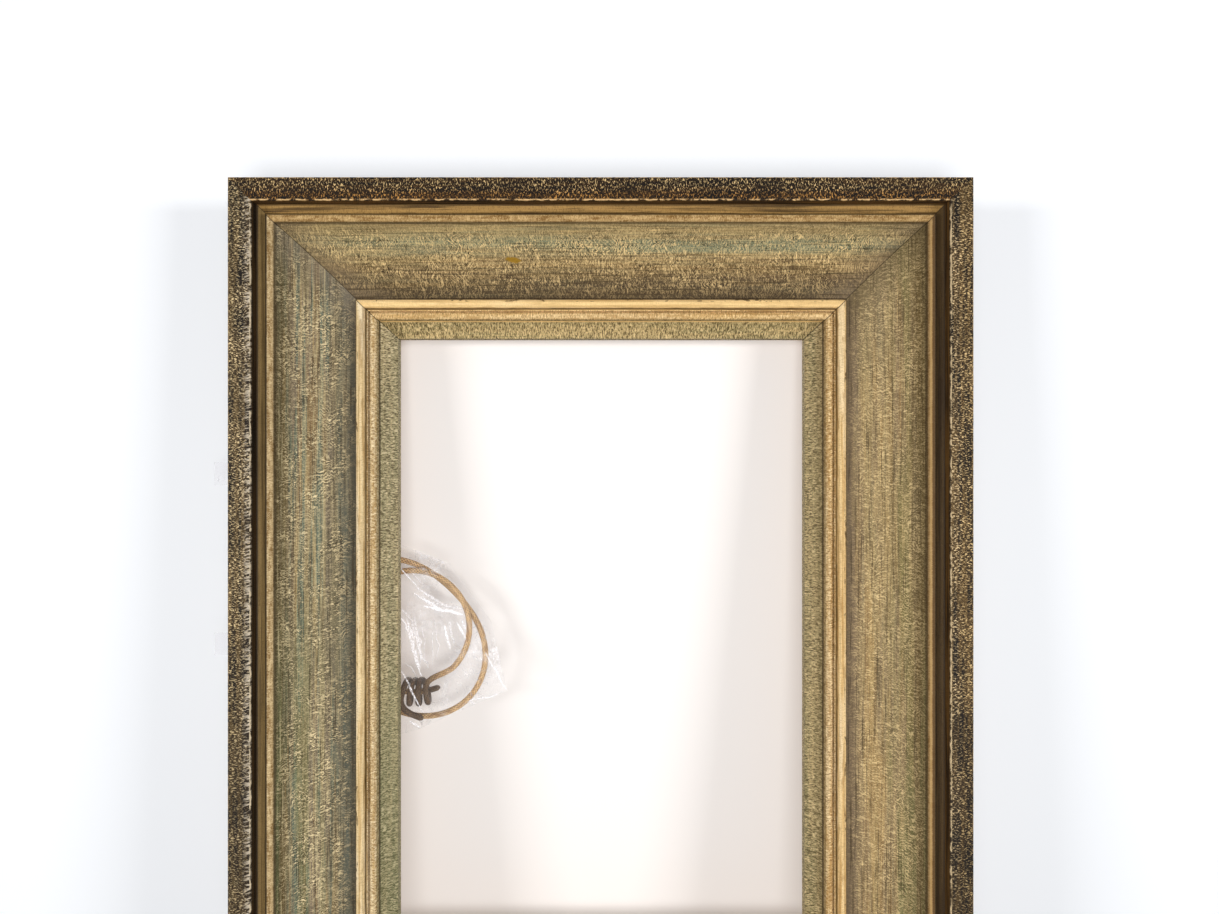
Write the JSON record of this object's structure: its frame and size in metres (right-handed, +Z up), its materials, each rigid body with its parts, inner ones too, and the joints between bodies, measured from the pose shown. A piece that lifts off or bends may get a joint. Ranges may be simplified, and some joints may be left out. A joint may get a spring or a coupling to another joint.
{
  "type": "picture frame",
  "caption": "Deep rectangular picture frame with a dark edge strip, a wide scooped moulding and a gilded double-bead liner, mitred at the corners, with a cord in a clear bag behind.",
  "frame": {"origin": "centre of the bottom face that the upright frame stands on", "axes": "+X to the right as the front is seen, +Y from front to back, +Z up; the front faces -Y"},
  "size_m": [0.4758, 0.0869, 0.574],
  "materials": {
    "edge_finish": "satin",
    "scoop_finish": "satin",
    "liner_finish": "satin",
    "steel": "satin",
    "brass": "satin",
    "cord": "matte",
    "clear_film": "gloss"
  },
  "bodies": {
    "frame": {"edge_rail_top": "edge_finish", "edge_rail_right": "edge_finish", "edge_rail_bottom": "edge_finish", "edge_rail_left": "edge_finish", "scoop_rail_top": "scoop_finish", "scoop_rail_right": "scoop_finish", "scoop_rail_bottom": "scoop_finish", "scoop_rail_left": "scoop_finish", "liner_rail_top": "liner_finish", "liner_rail_right": "liner_finish", "liner_rail_bottom": "liner_finish", "liner_rail_left": "liner_finish", "edge_pins": "steel", "liner_brads": "steel", "corner_fasteners": "steel", "liner_wedges": "steel", "button_screws": "brass", "hanger_strap_left": "brass", "hanger_strap_right": "brass", "hanger_screws": "brass", "hanging_cord": "cord", "cord_bag": "clear_film", "bag_tape_upper": "clear_film", "bag_tape_lower": "clear_film"},
    "button_top": {"turn_button_top": "brass"},
    "button_bottom": {"turn_button_bottom": "brass"},
    "button_right_upper": {"turn_button_right_upper": "brass"},
    "button_right_lower": {"turn_button_right_lower": "brass"},
    "button_left_upper": {"turn_button_left_upper": "brass"},
    "button_left_lower": {"turn_button_left_lower": "brass"},
    "ring_left": {"hanger_ring_left": "brass"},
    "ring_right": {"hanger_ring_right": "brass"}
  },
  "joints": [
    {"name": "button_top_turn", "type": "hinge", "parent": "frame", "child": "button_top", "pos_m": [0, 0.029, 0.499], "axis": [0, 1, 0], "continuous": true},
    {"name": "button_bottom_turn", "type": "hinge", "parent": "frame", "child": "button_bottom", "pos_m": [0, 0.029, 0.075], "axis": [0, 1, 0], "continuous": true},
    {"name": "button_right_upper_turn", "type": "hinge", "parent": "frame", "child": "button_right_upper", "pos_m": [0.1435, 0.029, 0.39446], "axis": [0, 1, 0], "continuous": true},
    {"name": "button_right_lower_turn", "type": "hinge", "parent": "frame", "child": "button_right_lower", "pos_m": [0.1435, 0.029, 0.17954], "axis": [0, 1, 0], "continuous": true},
    {"name": "button_left_upper_turn", "type": "hinge", "parent": "frame", "child": "button_left_upper", "pos_m": [-0.1435, 0.029, 0.39446], "axis": [0, 1, 0], "continuous": true},
    {"name": "button_left_lower_turn", "type": "hinge", "parent": "frame", "child": "button_left_lower", "pos_m": [-0.1435, 0.029, 0.17954], "axis": [0, 1, 0], "continuous": true},
    {"name": "ring_left_swing", "type": "hinge", "parent": "frame", "child": "ring_left", "pos_m": [-0.1825, 0.03556, 0.462], "axis": [1, 0, 0], "range_deg": [0, 180]},
    {"name": "ring_right_swing", "type": "hinge", "parent": "frame", "child": "ring_right", "pos_m": [0.1825, 0.03556, 0.462], "axis": [1, 0, 0], "range_deg": [0, 180]}
  ]
}
